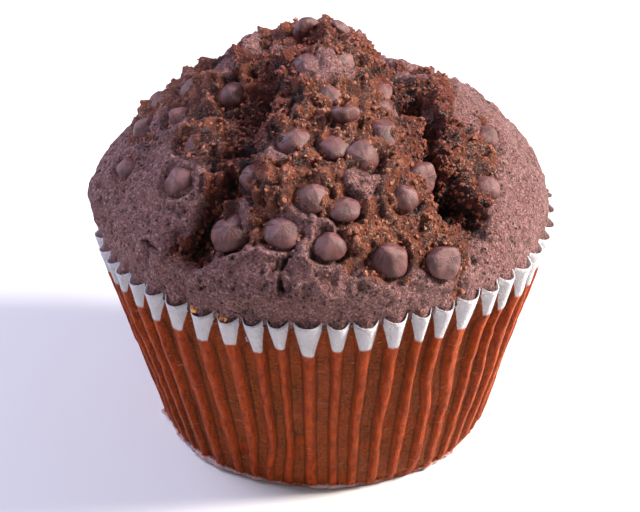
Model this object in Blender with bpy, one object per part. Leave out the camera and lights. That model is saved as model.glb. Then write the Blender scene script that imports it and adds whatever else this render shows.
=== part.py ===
"""A double chocolate muffin in its pleated paper case, with chocolate chips baked into the top.

The muffin stands on its case: the origin is at the middle of the case's flat foot, +Z is up and
-Y is the front. Turns around the muffin are in degrees, 0 at the front and growing towards +X.
Lengths are in millimetres, and make_object() turns them into metres.
"""
import math

import bpy
import numpy as np
from mathutils import Matrix, Vector

MM = 0.001

# The paper case: a cup pressed into pleats.
PLEATS = 50
OUTER_SHARE = 0.20          # half of a pleat's flat outside, as a share of the pleat
INNER_SHARE = 0.36          # where the flank reaches the pleat's flat inside
FLANK_SHIFT = 0.75          # how far a flank moves sideways for each millimetre of inset
CASE_HEIGHT = 38.0
FOOT_RADIUS = 27.2          # middle of the pleats at the foot
RIM_RADIUS = 38.2           # middle of the pleats at the rim
FOOT_PLEAT = 0.35           # half of a pleat's depth
RIM_PLEAT = 1.1
HEEL = 1.3                  # height and width of the rounded edge of the foot
PAPER = 0.4                 # wall, a little over the real two layers of greasy paper
GAP = 0.3                   # air between pieces that touch

# The cake: its sides fill the case, and its top rose over the rim.
INSET = PAPER + GAP         # from the paper's outside to the cake
RIM_LEAN = 1.1              # the right side of the rim is this much higher than its middle
DOME_RADIUS = 37.4          # of the dome just over the rim
DOME_TOP = 64.0             # of the smooth dome, without the crown
BELLY = 1.5                 # how far the crust swells out over the rim
DOME_RINGS = 13
HALVED_RINGS = (0, 7)       # the rings of the dome that have half as many points as the last

# The torn top: (x, y) middle, half widths and height of what rose, and the cracks between.
CROWN = dict(middle=(-3.0, 3.0), half=(16.5, 12.0), height=6.0)
FRONT_RIDGE = dict(middle=(0.0, -18.0), half=(13.0, 12.0), height=1.6)
RIGHT_PLATE = dict(middle=(24.0, 1.0), half=(7.5, 15.0), height=1.8)
LEFT_CRACK = [(-9, 6), (-12, -3), (-13, -14), (-15, -23), (-17, -30)]
RIGHT_CRACK = [(12, 8), (14, -3), (16, -14), (18, -22), (23, -25)]
BACK_CRACK = [(-19, 9), (-14, 20), (-2, 25), (9, 20), (15, 12)]
CRACK_DEPTH = 2.6
CRACK_WIDTH = 3.6

# Chocolate chips: turn, distance from the axis, width, how far the tip leans outwards from
# straight up, and how far it leans to the side.
CHIPS = [
    # the row along the front edge of the torn top
    (-26, 32.4, 6.4, 35, 10), (-12, 32.1, 6.4, 30, 0), (1, 33.2, 6.0, 20, 0),
    (16, 35.0, 6.4, 25, -20), (30, 36.3, 5.6, -115, 0),
    # the front ridge
    (-4, 28.0, 5.6, 20, 5), (6, 29.2, 5.4, 10, 0), (-25, 26.1, 5.0, 40, 0),
    (34, 25.6, 5.4, -100, 15), (25, 28.6, 5.2, 20, -10), (15, 23.4, 5.6, 70, 10),
    (4, 20.4, 5.2, 10, 0), (-14, 19.6, 6.0, 15, 5), (12, 16.2, 4.8, 140, 0),
    (-17, 14.8, 4.8, 40, -15), (30, 18.8, 5.6, 30, 10), (40, 14.6, 4.2, 50, 0),
    (46, 20.0, 3.6, 30, 10),
    # the crown
    (2, 11.0, 6.2, 5, 0), (-30, 7.0, 5.4, 30, 0), (35, 6.6, 4.6, 60, 0), (58, 10.8, 4.8, 20, 0),
    (-115, 17.0, 5.2, 40, 0), (-155, 8.6, 4.8, 80, 0), (164, 7.8, 4.8, 80, 0),
    # the left side
    (-50, 30.3, 5.4, 40, 10), (-57, 25.5, 5.6, 50, 0), (-74, 33.2, 4.8, 15, 10),
    (-86, 29.3, 5.2, 20, 0), (-76, 24.6, 4.6, 40, 15), (-101, 28.0, 4.2, 30, 0),
    (-97, 22.6, 4.8, 40, 0), (-70, 16.4, 5.0, 35, 10),
    # the right side
    (57, 30.8, 5.0, 5, 0), (75, 27.5, 4.4, 30, 0),
    # the back
    (124, 32.2, 5.2, 35, 0), (146, 29.4, 5.4, 20, 10), (140, 35.2, 5.0, 30, 0),
    (156, 22.8, 5.0, 60, 0), (163, 33.2, 5.8, 25, 10), (172, 19.0, 5.6, 30, 0),
    (178, 28.0, 5.2, -110, 0), (-166, 33.6, 5.4, 30, 0), (-160, 24.0, 5.8, 20, -10),
    (-146, 17.6, 4.8, 40, 0), (-142, 30.8, 5.6, 25, 0), (-128, 25.0, 5.0, 50, 0),
    (-120, 32.4, 4.8, 20, 0),
]
CHIP_SIDES = 8
# Radius and height along a chip that is one unit wide, from its flat base to its tip.
CHIP_PROFILE = [(0.42, -0.30), (0.50, -0.12), (0.31, 0.20)]
CHIP_TIP = 0.40
CHIP_OUT = 0.16             # a chip's middle stands this share of its width out of the cake


def smooth_step(start, end, value):
    """0 before start, 1 after end and an S curve between them."""
    share = np.clip((value - start) / (end - start), 0.0, 1.0)
    return share * share * (3.0 - 2.0 * share)


def around(turn, radius, height):
    """Points at a turn around the axis, a radius from it and a height."""
    turn, radius, height = np.broadcast_arrays(turn, radius, height)
    return np.stack([radius * np.sin(turn), -radius * np.cos(turn), height], axis=-1)


def mound(x, y, middle, half, height):
    """A flat-topped rise: its height falls to half where it meets its half widths."""
    distance = np.hypot((x - middle[0]) / half[0], (y - middle[1]) / half[1])
    return height / (1.0 + distance ** 6)


def crack(x, y, points):
    """How deep a crack is: a round-bottomed valley along a line of points."""
    nearest = np.full(np.shape(x), np.inf)
    for (x0, y0), (x1, y1) in zip(points, points[1:]):
        run = (x1 - x0) ** 2 + (y1 - y0) ** 2
        share = np.clip(((x - x0) * (x1 - x0) + (y - y0) * (y1 - y0)) / run, 0.0, 1.0)
        away = np.hypot(x - x0 - share * (x1 - x0), y - y0 - share * (y1 - y0))
        nearest = np.minimum(nearest, away)
    return CRACK_DEPTH * np.exp(-(nearest / CRACK_WIDTH) ** 2)


def dome(turn, rise):
    """The cake's top: a squashed round dome that leans to the right and rose through its crust.

    rise runs from 0 at the case's rim to a quarter turn at the top.
    """
    right = np.sin(turn)
    front = np.cos(turn)
    power = 2.0 / (1.95 - 0.22 * right + 0.10 * front)
    swell = BELLY * (1.0 - 0.6 * right) * np.exp(-((rise - 0.24) / 0.18) ** 2)
    radius = DOME_RADIUS * np.cos(rise) ** power + swell
    start = rim_height(turn) + 2.0 * GAP
    height = start + (DOME_TOP - start) * np.sin(rise) ** power
    points = around(turn, radius, height)
    x, y = points[..., 0], points[..., 1]
    rises = sum(mound(x, y, **place) for place in (CROWN, FRONT_RIDGE, RIGHT_PLATE))
    falls = sum(crack(x, y, line) for line in (LEFT_CRACK, RIGHT_CRACK, BACK_CRACK))
    above_rim = smooth_step(0.0, 0.45, rise)
    points[..., 2] += above_rim * (rises - falls)
    return points


def rim_height(turn):
    """The case's rim isn't level: it is higher on the right."""
    return CASE_HEIGHT + RIM_LEAN * np.sin(turn)


def case_wall(share, inset, lift=0.0, foot_edge=0.0):
    """A ring of pleats at a share of the case's height, inset from the paper's outside.

    Each pleat has a flat outside, a flat inside and two short flanks. An inset narrows the
    outside as it moves in, so that the flanks keep their distance too.
    """
    radius = FOOT_RADIUS + (RIM_RADIUS - FOOT_RADIUS) * share - foot_edge
    depth = FOOT_PLEAT + (RIM_PLEAT - FOOT_PLEAT) * share
    squeeze = FLANK_SHIFT * inset * PLEATS / (2.0 * math.pi * radius)
    shares = np.array([-OUTER_SHARE + squeeze, OUTER_SHARE - squeeze,
                       INNER_SHARE - squeeze, 1.0 - INNER_SHARE + squeeze])
    pleat = np.arange(PLEATS)[:, None]
    turn = 2.0 * math.pi * (pleat + shares).ravel() / PLEATS
    turn = turn + 0.020 * np.sin(3.0 * turn + 0.5) + 0.012 * np.sin(7.0 * turn)
    sides = np.tile([1.0, 1.0, -1.0, -1.0], PLEATS)
    return around(turn, radius - inset + depth * sides, share * rim_height(turn) + lift)


def skin(rings):
    """Faces between rings with the same number of points; rings are lists of point indices."""
    faces = []
    for low, high in zip(rings, rings[1:]):
        count = len(low)
        for i in range(count):
            j = (i + 1) % count
            faces.append((low[i], low[j], high[j], high[i]))
    return faces


def halving_skin(low, high):
    """Faces from a ring to one with half as many points: three triangles for each upper edge."""
    faces = []
    count = len(high)
    for i in range(count):
        j = (i + 1) % count
        a, b, c = low[2 * i], low[2 * i + 1], low[(2 * i + 2) % len(low)]
        faces += [(a, b, high[i]), (b, c, high[j]), (b, high[j], high[i])]
    return faces


def cap(ring, middle, upward):
    """A fan of triangles that closes a ring."""
    count = len(ring)
    pairs = [(ring[i], ring[(i + 1) % count]) for i in range(count)]
    return [(a, b, middle) if upward else (b, a, middle) for a, b in pairs]


def number_rings(rings):
    """Stack rings of points into one table and give each ring its indices."""
    starts = np.cumsum([0] + [len(ring) for ring in rings])
    return np.vstack(rings), [list(range(a, b)) for a, b in zip(starts, starts[1:])]


def make_material(name, colour, roughness):
    """A plain Principled material."""
    material = bpy.data.materials.new(name)
    material.use_nodes = True
    shader = material.node_tree.nodes["Principled BSDF"]
    shader.inputs["Base Color"].default_value = (*colour, 1.0)
    shader.inputs["Roughness"].default_value = roughness
    return material


def make_object(name, points, faces, material, crease=35.0):
    """A mesh object from points in millimetres."""
    mesh = bpy.data.meshes.new(name)
    mesh.from_pydata((np.asarray(points) * MM).tolist(), [], faces)
    mesh.update()
    mesh.materials.append(material)
    mesh.shade_smooth()
    mesh.set_sharp_from_angle(angle=math.radians(crease))
    item = bpy.data.objects.new(name, mesh)
    bpy.context.scene.collection.objects.link(item)
    return item


def build_case(material):
    """The paper cup: its outside from the foot to the rim, then its inside down to the floor."""
    heel = HEEL / CASE_HEIGHT
    outside = [case_wall(0.0, 0.0, foot_edge=HEEL), case_wall(heel, 0.0), case_wall(1.0, 0.0)]
    inside = [case_wall(1.0, PAPER), case_wall(heel, PAPER),
              case_wall(0.0, 0.0, lift=PAPER, foot_edge=HEEL)]
    middles = [(0.0, 0.0, 0.0), (0.0, 0.0, PAPER)]
    points, rings = number_rings(outside + inside + [middles])
    under, floor = rings.pop()
    faces = skin(rings) + cap(rings[0], under, False) + cap(rings[-1], floor, True)
    return make_object("paper_case", points, faces, material)


def build_cake(material):
    """The cake: sides that took the case's pleats, and the dome above the rim."""
    heel = HEEL / CASE_HEIGHT
    rings = [case_wall(0.0, INSET, lift=INSET, foot_edge=HEEL),
             case_wall(heel, INSET, lift=GAP), case_wall(1.0, INSET, lift=GAP)]
    turn = np.arctan2(rings[-1][:, 0], -rings[-1][:, 1])
    for number, rise in enumerate(math.pi / 2.0 * np.arange(DOME_RINGS) / DOME_RINGS):
        if number in HALVED_RINGS:
            turn = turn[::2]
        rings.append(dome(turn, np.full(len(turn), rise)))
    foot = np.array([[0.0, 0.0, INSET]])
    top = dome(np.array([0.0]), np.array([math.pi / 2.0]))
    points, numbers = number_rings(rings + [foot, top])
    top_point = numbers.pop()[0]
    foot_point = numbers.pop()[0]
    faces = cap(numbers[0], foot_point, False) + cap(numbers[-1], top_point, True)
    for low, high in zip(numbers, numbers[1:]):
        faces += skin([low, high]) if len(low) == len(high) else halving_skin(low, high)
    return make_object("cake", points, faces, material, crease=50.0)


def chip_points(width, clearance=0.0):
    """A drop of chocolate: a flat round base, a full belly and a blunt tip."""
    turn = 2.0 * math.pi * np.arange(CHIP_SIDES) / CHIP_SIDES
    rings = []
    for radius, height in CHIP_PROFILE:
        grown = clearance if height > CHIP_PROFILE[0][1] else 0.8 * clearance
        drop = clearance if height == CHIP_PROFILE[0][1] else 0.0
        rings.append(around(turn, radius * width + grown, height * width - drop))
    ends = np.array([[0.0, 0.0, CHIP_PROFILE[0][1] * width - clearance],
                     [0.0, 0.0, CHIP_TIP * width + clearance]])
    points, numbers = number_rings(rings + [ends])
    base, tip = numbers.pop()
    faces = skin(numbers) + cap(numbers[0], base, False) + cap(numbers[-1], tip, True)
    return points, faces


def chip_place(turn_deg, distance, width, lean_deg, side_deg):
    """Where a chip sits: on the cake's top, a little out of it, its tip leaning as given."""
    turn = math.radians(turn_deg)
    rise = rise_at(turn, distance)
    step = 0.02
    here = dome(np.array([turn]), np.array([rise]))[0]
    along = dome(np.array([turn + step]), np.array([rise]))[0] - here
    up = dome(np.array([turn]), np.array([rise + step]))[0] - here
    normal = Vector(np.cross(along, up)).normalized()
    middle = Vector(here) + normal * CHIP_OUT * width
    lean = Matrix.Rotation(math.radians(side_deg), 4, "Y") @ \
        Matrix.Rotation(math.radians(lean_deg), 4, "X")
    return Matrix.Translation(middle) @ Matrix.Rotation(turn, 4, "Z") @ lean


def rise_at(turn, distance):
    """The rise at which the dome is a given distance from the axis."""
    low, high = 0.25, math.pi / 2.0
    for _ in range(40):
        rise = (low + high) / 2.0
        point = dome(np.array([turn]), np.array([rise]))[0]
        if math.hypot(point[0], point[1]) > distance:
            low = rise
        else:
            high = rise
    return rise


def place_points(points, place):
    """Points moved by a matrix."""
    matrix = np.array(place)
    return points @ matrix[:3, :3].T + matrix[:3, 3]


def build_chips(cake, material):
    """Each chip, and the socket that it left in the cake."""
    sockets = []
    for number, chip in enumerate(CHIPS, start=1):
        place = chip_place(*chip)
        width = chip[2]
        points, faces = chip_points(width)
        make_object(f"chip_{number:02d}", place_points(points, place), faces, material, crease=40.0)
        points, faces = chip_points(width, clearance=GAP)
        socket = make_object(f"socket_{number:02d}", place_points(points, place), faces, material)
        socket.hide_render = True
        socket.display_type = "WIRE"
        sockets.append(socket)
    group = bpy.data.collections.new("sockets")
    bpy.context.scene.collection.children.link(group)
    for socket in sockets:
        bpy.context.scene.collection.objects.unlink(socket)
        group.objects.link(socket)
    cut = cake.modifiers.new("chip sockets", "BOOLEAN")
    cut.operation = "DIFFERENCE"
    cut.operand_type = "COLLECTION"
    cut.collection = group
    cut.solver = "EXACT"


def main():
    for item in list(bpy.data.objects):
        bpy.data.objects.remove(item, do_unlink=True)
    crumb = make_material("cocoa_cake", (0.075, 0.030, 0.022), 0.85)
    paper = make_material("baked_paper", (0.250, 0.080, 0.035), 0.60)
    chocolate = make_material("chocolate", (0.090, 0.038, 0.030), 0.40)
    cake = build_cake(crumb)
    build_case(paper)
    build_chips(cake, chocolate)


main()
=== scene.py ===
# %% [markdown]
# # A double chocolate muffin in its paper case
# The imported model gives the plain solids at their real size: the cake, its pleated case and each
# chocolate chip. This lesson dresses them. Every new piece is a surface worked out with numpy from a
# few sizes that are read from those solids, so the looks stay where the solids are.

# %% Load the frame and read its sizes
import math
from itertools import combinations
import bpy
import numpy as np
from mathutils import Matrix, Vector


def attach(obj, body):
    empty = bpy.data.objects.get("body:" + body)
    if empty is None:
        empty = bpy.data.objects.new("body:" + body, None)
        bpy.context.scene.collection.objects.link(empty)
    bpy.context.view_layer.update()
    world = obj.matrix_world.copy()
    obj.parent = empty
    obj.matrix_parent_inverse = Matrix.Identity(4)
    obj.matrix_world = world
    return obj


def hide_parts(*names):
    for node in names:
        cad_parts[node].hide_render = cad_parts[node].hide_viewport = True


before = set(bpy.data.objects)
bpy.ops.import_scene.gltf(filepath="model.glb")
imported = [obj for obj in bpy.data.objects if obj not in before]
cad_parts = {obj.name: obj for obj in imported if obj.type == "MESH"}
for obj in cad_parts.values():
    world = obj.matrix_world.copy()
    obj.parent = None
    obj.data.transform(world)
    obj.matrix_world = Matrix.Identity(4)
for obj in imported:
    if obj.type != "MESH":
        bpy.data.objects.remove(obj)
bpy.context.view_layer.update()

MM = 0.001
CHIPS = sorted(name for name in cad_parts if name.startswith("chip_"))


def node_points(name):
    """The corners of a node's mesh in millimetres, each corner once."""
    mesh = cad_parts[name].data
    table = np.empty(3 * len(mesh.vertices))
    mesh.vertices.foreach_get("co", table)
    return np.unique(np.round(table.reshape(-1, 3) / MM, 3), axis=0)


plain_case = node_points("paper_case")
from_axis = np.hypot(plain_case[:, 0], plain_case[:, 1])
CASE_RADIUS = from_axis.max()
HEEL = 1.3                  # height and width of the rounded edge of the foot
on_foot = (plain_case[:, 2] < 0.01) & (from_axis > 1.0)
FOOT_RADIUS = from_axis[on_foot].mean() + HEEL
RIM_LEAN = 1.1              # the right side of the rim is this much higher than its middle
CASE_HEIGHT = plain_case[:, 2].max() - RIM_LEAN
print(f"case: foot {FOOT_RADIUS:.1f}, rim {CASE_RADIUS:.1f}, height {CASE_HEIGHT:.1f} mm")

# %% [markdown]
# ## Irregular by rule
# Nothing baked is regular, but the script must give the same muffin each time. So the unevenness
# comes from noise: a random number is fixed to every corner of an invisible lattice by scrambling
# the bits of its coordinates, and points between corners blend the numbers around them. Small
# lattices give grain, large ones give lumps, and adding octaves gives both.

# %% Noise helpers
# large odd numbers whose bits look random, one for each axis
SCRAMBLE = [np.uint64(k) for k in (0x9E3779B97F4A7C15, 0xC2B2AE3D27D4EB4F, 0x165667B19E3779F9)]


def lattice(cell, seed):
    """A fixed random number from 0 to 1 for each whole-numbered cell (its last axis is x, y, z)."""
    bits = np.full(cell.shape[:-1], seed * 7919 + 17, dtype=np.uint64)
    for axis, odd in enumerate(SCRAMBLE):
        bits = (bits ^ cell[..., axis].astype(np.int64).view(np.uint64)) * odd
        bits ^= bits >> np.uint64(29)
    return (bits >> np.uint64(11)).astype(float) / 2.0 ** 53


def noise(points, size, seed):
    """Smooth noise from -1 to 1 with lumps of a size: the eight corners' numbers, blended."""
    place = points / size
    low = np.floor(place)
    part = place - low
    part = part * part * part * (part * (part * 6.0 - 15.0) + 10.0)
    total = 0.0
    for corner in np.ndindex(2, 2, 2):
        weight = np.prod(np.where(corner, part, 1.0 - part), axis=-1)
        total = total + weight * lattice(low + corner, seed)
    return 2.0 * total - 1.0


def rough(points, size, seed, octaves=3):
    """Noise with finer noise on it: each octave is half as large and half as strong."""
    return sum(noise(points, size / 2.0 ** k, seed + k) / 2.0 ** k for k in range(octaves))


def puffs(points, size, seed, octaves=3):
    """Puffy lumps with sharp creases between them: each octave of noise is folded up at zero."""
    return sum(np.abs(noise(points, size / 2.0 ** k, seed + k)) * 0.62 ** k
               for k in range(octaves))


def grains(points, size, seed):
    """Round grains: the distance to the nearest scattered centre, in sizes, and its number."""
    place = points / size
    low = np.floor(place)
    nearest = np.full(points.shape[:-1], 9.0)
    number = np.zeros(points.shape[:-1])
    for step in np.ndindex(3, 3, 3):
        cell = low + np.array(step) - 1.0
        centre = cell + np.stack([lattice(cell, seed + k) for k in range(3)], axis=-1)
        away = np.linalg.norm(place - centre, axis=-1)
        number = np.where(away < nearest, lattice(cell, seed + 3), number)
        nearest = np.minimum(nearest, away)
    return nearest, number


def smooth_step(start, end, value):
    """0 before start, 1 after end and an S curve between them."""
    share = np.clip((value - start) / (end - start), 0.0, 1.0)
    return share * share * (3.0 - 2.0 * share)


def around(turn, radius, height):
    """Points at a turn around the axis (0 in front), a radius from it and a height."""
    turn, radius, height = np.broadcast_arrays(turn, radius, height)
    return np.stack([radius * np.sin(turn), -radius * np.cos(turn), height], axis=-1)


# %% [markdown]
# ## From a grid of points to a mesh
# A surface with two parameters is a grid of points. Neighbouring points make four-sided faces, and
# a grid that goes around closes on itself. `foreach_set` writes whole arrays into the mesh at once,
# which takes a moment where a loop over points would take minutes. Named attributes carry what the
# finish needs to know about each point, such as how deep in a crack it lies.

# %% Mesh helpers
def grid_faces(index, closed):
    """Four-sided faces of a grid of point numbers; closed joins the last column to the first."""
    if closed:
        index = np.concatenate([index, index[:, :1]], axis=1)
    corners = [index[:-1, :-1], index[:-1, 1:], index[1:, 1:], index[1:, :-1]]
    return np.stack(corners, axis=-1).reshape(-1, 4)


def fan_faces(ring, middle):
    """Triangles from a ring to one point, as rows of four with the last left out (-1)."""
    following = np.roll(ring, -1)
    blank = np.full(len(ring), -1)
    return np.stack([ring, following, np.full(len(ring), middle), blank], axis=-1)


def make_piece(name, points, faces, replaces=(), marks=None, uv=None, smooth=True):
    """An object from points in millimetres, riding on the frame's one body."""
    mesh = bpy.data.meshes.new(name)
    mesh.vertices.add(len(points))
    mesh.vertices.foreach_set("co", (points * MM).astype(np.float32).ravel())
    used = faces >= 0
    counts = used.sum(axis=1)
    mesh.loops.add(int(counts.sum()))
    mesh.loops.foreach_set("vertex_index", faces[used].astype(np.int32))
    mesh.polygons.add(len(faces))
    mesh.polygons.foreach_set("loop_start", np.cumsum(counts) - counts)
    mesh.polygons.foreach_set("use_smooth", np.full(len(faces), smooth))
    mesh.update(calc_edges=True)
    for mark, values in (marks or {}).items():
        layer = mesh.attributes.new(mark, "FLOAT", "POINT")
        layer.data.foreach_set("value", values.astype(np.float32))
    if uv is not None:
        layer = mesh.uv_layers.new(name="drop")
        layer.data.foreach_set("uv", uv[faces[used]].astype(np.float32).ravel())
    mesh.validate()
    piece = bpy.data.objects.new(name, mesh)
    bpy.context.scene.collection.objects.link(piece)
    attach(piece, "root")
    if replaces:
        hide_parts(*replaces)
    print(f"{name}: {len(points)} points, {int((counts - 2).sum())} triangles")
    return piece


# %% [markdown]
# ## The pleats
# A muffin case is a disc of paper pressed into pleats between two dies. Each pleat has a flat
# outside, the tooth one sees at the rim, and a narrow fold that points inwards. At the rim the
# teeth are wide and the folds are slits. Further down the paper between the teeth is stuck to the
# cake, so the fold opens out and only a narrow ridge stands proud. No two pleats are the same
# width, because the baker's fingers and the rising cake push them about.

# %% The pleats' shape
PLEATS = 50
RIM_PLEAT = 1.1             # half of a pleat's depth at the rim
FOOT_PLEAT = 0.35           # and at the foot
WALL = 0.22                 # two layers of greasy paper
EAR = 1.1                   # how far a tooth's corners stand above its middle
RIM_RADIUS = CASE_RADIUS - RIM_PLEAT
FLARE_START = 0.76          # the share of the height from which the teeth reach out
FLARE_LENGTH = 0.22

pleat_chance = np.random.default_rng(11)
widths = 1.0 + 0.30 * (pleat_chance.random(PLEATS) - 0.5)
FOLDS = np.concatenate([[0.0], np.cumsum(widths)]) * 2.0 * math.pi / widths.sum()
tooth_width = 1.0 + 0.5 * (pleat_chance.random(PLEATS) - 0.5)
tooth_depth = 0.8 + 0.25 * pleat_chance.random(PLEATS)
tooth_dry = 4.0 + 1.8 * pleat_chance.random(PLEATS)             # the white part's length
tooth_top = 0.35 + 0.5 * (pleat_chance.random(PLEATS) - 0.5)    # its height over the rim


def rim_height(turn):
    """The case's rim isn't level: it is higher on the right."""
    return CASE_HEIGHT + RIM_LEAN * np.sin(turn)


def pleat_at(turn):
    """Which pleat a turn falls in, and where in it: -0.5 and 0.5 at its folds, 0 at its tooth."""
    turn = np.mod(turn, 2.0 * math.pi)
    pleat = np.clip(np.searchsorted(FOLDS, turn, side="right") - 1, 0, PLEATS - 1)
    return pleat, (turn - FOLDS[pleat]) / (FOLDS[pleat + 1] - FOLDS[pleat]) - 0.5


def pleat_level(turn, share):
    """1 on a tooth and -1 in a fold. A tooth's side falls ever faster, like a quarter of a cosine
    wave, and ends in a crease; towards the rim it reaches out until neighbouring teeth touch."""
    pleat, place = pleat_at(turn)
    flare = np.clip((share - FLARE_START) / FLARE_LENGTH, 0.0, 1.0)
    start = 0.08 * tooth_width[pleat] * (1.0 - 0.5 * flare)
    end = 0.25 + 0.25 * flare
    fallen = np.clip((np.abs(place) - start) / (end - start), 0.0, 1.0)
    return 2.0 * np.cos(0.5 * math.pi * fallen) - 1.0


def case_radius(turn, share, lowest=-1.0, highest=1.0):
    """The paper's outside at a turn and a share of the height: a cone with pleats on it, whose
    folds can be filled up to a lowest level and whose teeth can be cut down to a highest one."""
    pleat = pleat_at(turn)[0]
    depth = FOOT_PLEAT + (RIM_PLEAT - FOOT_PLEAT) * share
    middle = FOOT_RADIUS + (RIM_RADIUS - FOOT_RADIUS) * share
    level = np.clip(pleat_level(turn, share), lowest, highest)
    return middle + depth * tooth_depth[pleat] * level


print(f"{PLEATS} pleats, {2 * math.pi * RIM_RADIUS / PLEATS:.1f} mm wide at the rim")

# %% [markdown]
# ## The risen top
# Under the crust's detail the top is a squashed dome: a superellipse whose power changes around the
# muffin, because it rose fuller on the left and straighter on the right. On it stand the crown
# that burst through, a low ridge in front and a plate of crust on the right, with valleys between.

# %% The dome
INSET = 0.7                 # the paper's wall and the air inside it
DOME_RADIUS = CASE_RADIUS - 1.9
DOME_TOP = 64.0
BELLY = 1.5                 # how far the crust swells out over the rim
# middle and half widths from above, and height over the dome
CROWN = dict(middle=(-3.0, 3.0), half=(16.5, 12.0), height=6.0)
FRONT_RIDGE = dict(middle=(0.0, -18.0), half=(13.0, 12.0), height=1.6)
RIGHT_PLATE = dict(middle=(24.0, 1.0), half=(7.5, 15.0), height=1.8)
# x and y along the three broad valleys
LEFT_CRACK = [(-9, 6), (-12, -3), (-13, -14), (-15, -23), (-17, -30)]
RIGHT_CRACK = [(12, 8), (14, -3), (16, -14), (18, -22), (23, -25)]
BACK_CRACK = [(-19, 9), (-14, 20), (-2, 25), (9, 20), (15, 12)]
CRACK_DEPTH = 2.6
CRACK_WIDTH = 3.6


def mound(x, y, middle, half, height):
    """A flat-topped rise: its height falls to half where it meets its half widths."""
    distance = np.hypot((x - middle[0]) / half[0], (y - middle[1]) / half[1])
    return height / (1.0 + distance ** 6)


def line_distance(points, line):
    """The distance from points to a line of straight runs, in two or three dimensions."""
    nearest = np.full(points.shape[:-1], np.inf)
    line = np.asarray(line, dtype=float)
    for start, run in zip(line[:-1], np.diff(line, axis=0)):
        share = np.clip(((points - start) @ run) / (run @ run), 0.0, 1.0)
        away = points - start - share[..., None] * run
        nearest = np.minimum(nearest, np.linalg.norm(away, axis=-1))
    return nearest


def dome(turn, rise):
    """The smooth top: rise runs from 0 at the case's rim to a quarter turn at the crown."""
    right, front = np.sin(turn), np.cos(turn)
    power = 2.0 / (1.95 - 0.22 * right + 0.10 * front)
    swell = BELLY * (1.0 - 0.6 * right) * np.exp(-((rise - 0.24) / 0.18) ** 2)
    radius = DOME_RADIUS * np.cos(rise) ** power + swell
    start = rim_height(turn) + 0.6
    height = start + (DOME_TOP - start) * np.sin(rise) ** power
    points = around(turn, radius, height)
    x, y = points[..., 0], points[..., 1]
    rises = sum(mound(x, y, **place) for place in (CROWN, FRONT_RIDGE, RIGHT_PLATE))
    falls = 0.0
    for line in (LEFT_CRACK, RIGHT_CRACK, BACK_CRACK):
        away = line_distance(points[..., :2], line)
        falls = falls + CRACK_DEPTH * np.exp(-(away / CRACK_WIDTH) ** 2)
    points[..., 2] += smooth_step(0.0, 0.45, rise) * (rises - falls)
    return points


# %% [markdown]
# ## Where the chips lie
# Each chip's solid in the frame is a small drop: a flat round base, a belly and a tip. Its corners
# spread least along its own axis, and they reach further towards the tip than towards the base, so
# its axis, base and size can be read back from the corners alone.

# %% Read the chips
CHIP_TALL = 0.70            # a chip's height for a width of one


def read_chip(name):
    """A chip's base middle, its axis towards the tip, and its width."""
    points = node_points(name)
    middle = points.mean(axis=0)
    axis = np.linalg.eigh(np.cov((points - middle).T))[1][:, 0]
    reach = (points - middle) @ axis
    if reach.max() < -reach.min():
        axis, reach = -axis, -reach
    tall = reach.max() - reach.min()
    return middle + axis * reach.min(), axis, tall / CHIP_TALL


chips = {name: read_chip(name) for name in CHIPS}
chip_widths = [width for base, axis, width in chips.values()]
print(f"{len(chips)} chips, {min(chip_widths):.1f} to {max(chip_widths):.1f} mm wide")

# %% [markdown]
# ## Crust and crumb
# A muffin's crust sets early in the oven. The batter below keeps rising, breaks it into plates and
# pushes the soft crumb out between them. So there are two finishes: a dull, finely pitted crust
# around the edge, and a dark, moist, lumpy crumb on the torn crown. The torn edge is a distance
# from the axis for each turn, made ragged with noise, and islands of crust stay on the crown.

# %% The torn edge
# turn in degrees, and the distance from the axis there in millimetres
TORN_EDGE = [(-180, 27), (-160, 26.5), (-135, 29), (-118, 31), (-93, 32.5), (-82, 31.5),
             (-68, 28.2), (-56, 27.4), (-46, 28.8), (-40, 31.1), (-31, 34.2), (-24, 35.3),
             (-12, 34.6), (1, 35.7), (12, 37.0), (24, 36.8), (33, 37.4), (44, 34.1), (55, 33.3),
             (68, 29.5), (78, 26.9), (94, 23.7), (108, 22), (134, 25.5), (158, 24), (180, 27)]
ISLAND_SIZE = 6.5
ISLAND_SHARE = 0.56         # the noise above which crust stays on the torn top
# x and y along the lines where the top burst deepest
DEEP_LINES = [[(-4, 3), (-6.4, -3.7), (-10, -9.4), (-10.7, -13.8), (-13, -21), (-16.4, -25.8),
               (-21.6, -28.4)],
              [(8, 9), (11, 2), (13.5, -5.5), (16.5, -14), (18.7, -20.7), (23, -22)],
              BACK_CRACK]
# near the deepest lines and over the patches the crumb is moist, and partly painted shade
MOIST_SHADE_REACH = 6.5             # how far the moist, dark crumb reaches from the deepest lines
MOIST_SHADE_PATCHES = [((18.5, -3.0), 9.0), ((-15.0, 2.0), 6.0)]    # middle and radius


def near_deep(points, width):
    """1 along the lines where the top burst deepest, falling off over a width."""
    shaken = points[..., :2] + 1.6 * np.stack([noise(points, 3.1, 35 + k) for k in (0, 1)], axis=-1)
    away = np.min([line_distance(shaken, line) for line in DEEP_LINES], axis=0)
    return np.exp(-(away / width) ** 2)


def moist_and_shaded(points):
    """How moist the crumb is and how much painted shade it gets: most near the deepest lines and
    over the patches.
    """
    moist_shade = near_deep(points, MOIST_SHADE_REACH)
    for middle, radius in MOIST_SHADE_PATCHES:
        away = np.linalg.norm(points[..., :2] - middle, axis=-1)
        moist_shade = np.maximum(moist_shade, np.exp(-(away / radius) ** 4))
    return moist_shade


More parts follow.
